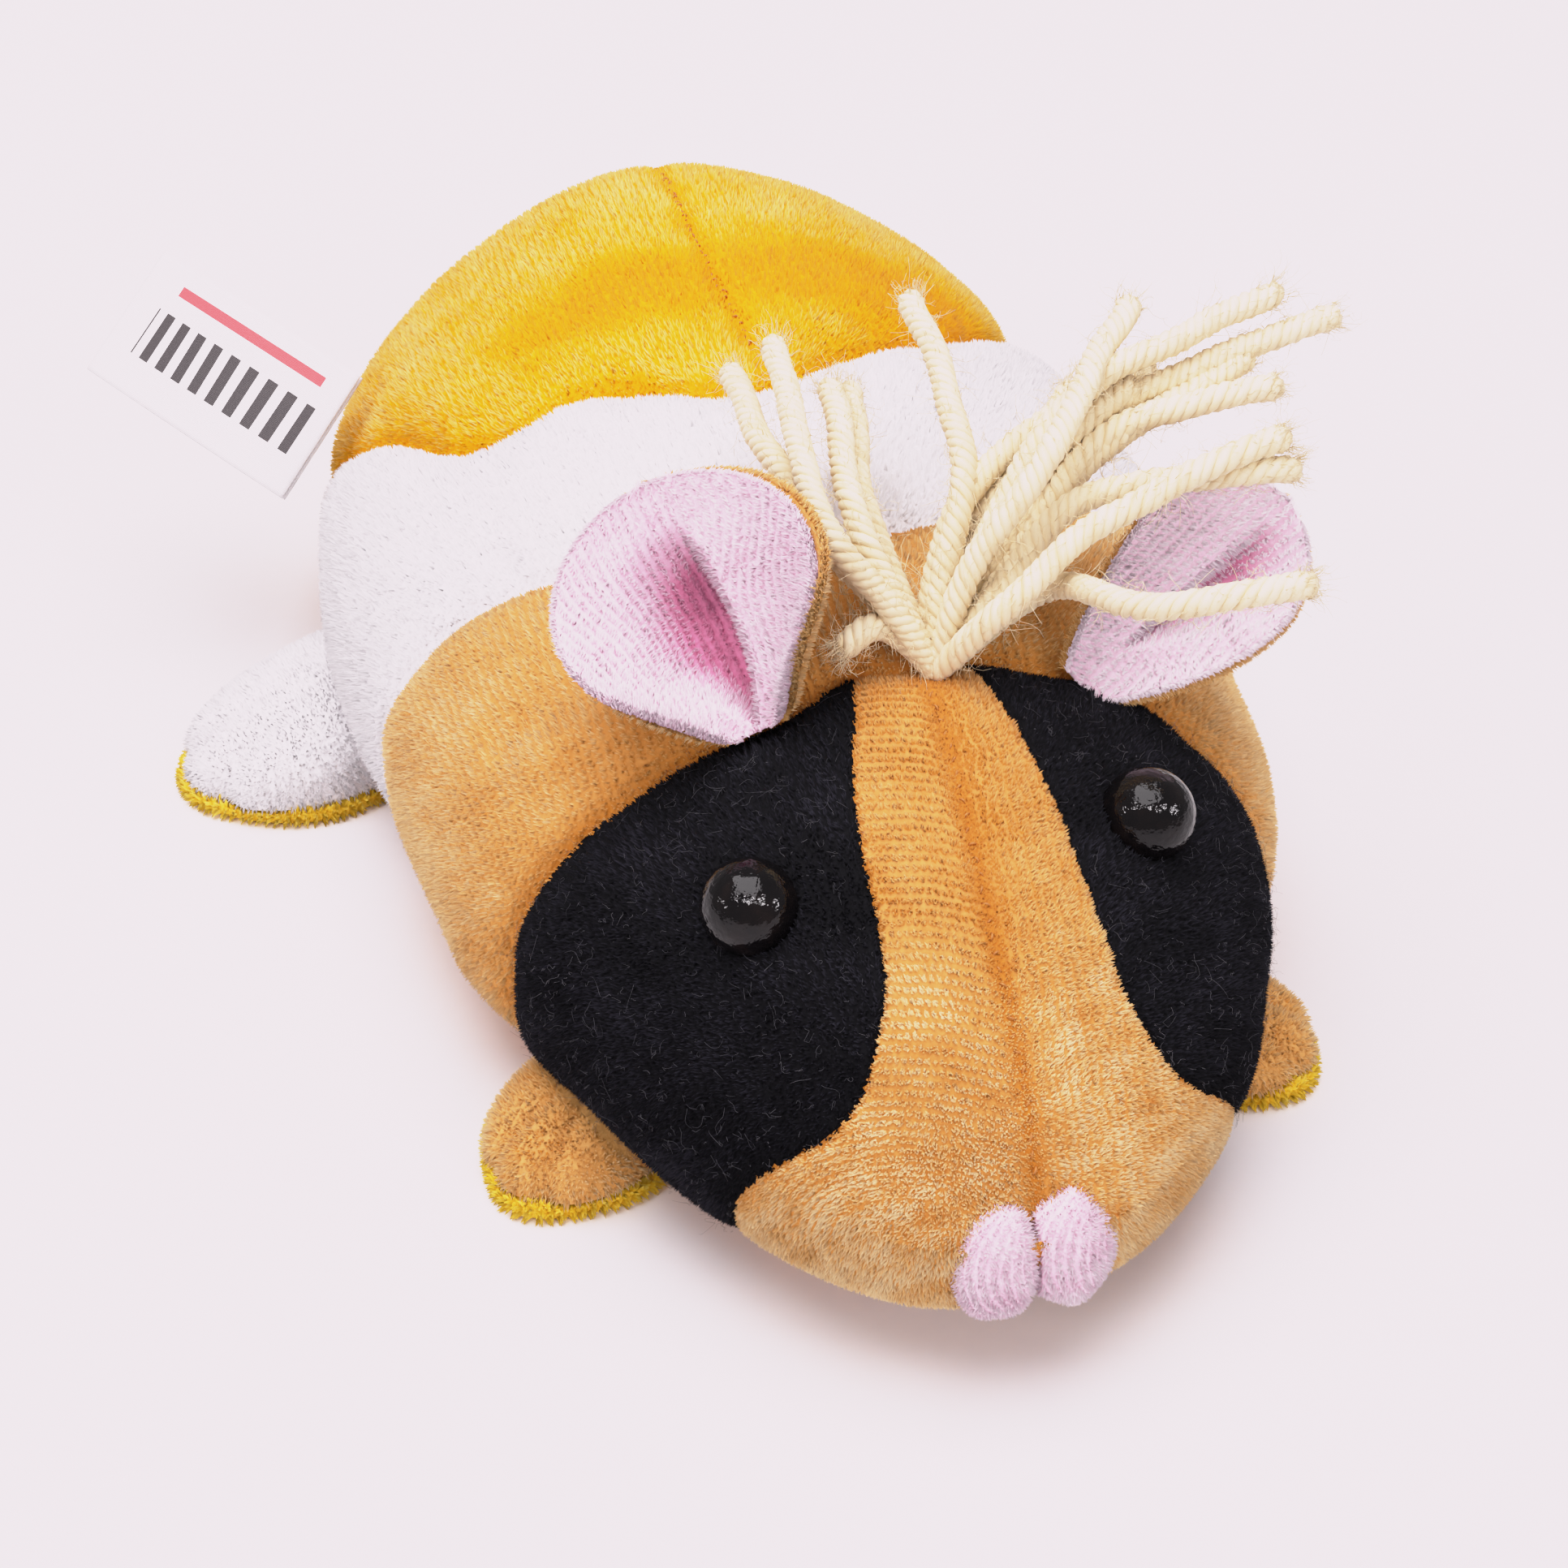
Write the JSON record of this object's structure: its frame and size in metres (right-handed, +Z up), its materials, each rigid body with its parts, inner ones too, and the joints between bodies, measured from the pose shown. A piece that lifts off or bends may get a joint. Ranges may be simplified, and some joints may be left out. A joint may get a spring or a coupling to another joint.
{
  "type": "plush guinea pig toy",
  "caption": "Small bean-filled plush guinea pig lying on its belly, with velour panels, bead eyes, folded ears, flat feet, a puffy nose, a yarn tuft and a blank side label.",
  "frame": {"origin": "on the floor, in the middle of the flat under the belly", "axes": "+Z up, the toy looks along -Y, and its own left side is +X"},
  "size_m": [0.0996, 0.1327, 0.0541],
  "materials": {
    "tan_velour": "short-pile knitted velour, tan",
    "black_velour": "short-pile knitted velour, black",
    "white_velour": "short-pile knitted velour, white",
    "yellow_velour": "short-pile knitted velour, golden yellow",
    "pink_velour": "short-pile knitted velour, pale pink",
    "eye_bead": "glossy black domed bead",
    "label_ribbon": "white satin ribbon, blank",
    "cream_yarn": "plied cream wool yarn"
  },
  "bodies": {
    "root": {"blaze_left": "tan_velour", "blaze_right": "tan_velour", "eye_patch_left": "black_velour", "eye_patch_right": "black_velour", "neck": "tan_velour", "middle": "white_velour", "rump_left": "yellow_velour", "rump_right": "yellow_velour", "belly": "yellow_velour", "eye_left": "eye_bead", "eye_right": "eye_bead", "nose_left": "pink_velour", "nose_right": "pink_velour", "ear_lining_left": "pink_velour", "ear_back_left": "tan_velour", "ear_lining_right": "pink_velour", "ear_back_right": "tan_velour", "forefoot_left": "tan_velour", "forefoot_left_sole": "yellow_velour", "forefoot_right": "tan_velour", "forefoot_right_sole": "yellow_velour", "hindfoot_left": "white_velour", "hindfoot_left_sole": "yellow_velour", "hindfoot_right": "white_velour", "hindfoot_right_sole": "yellow_velour", "side_label": "label_ribbon", "yarn_tuft": "cream_yarn"}
  },
  "joints": []
}
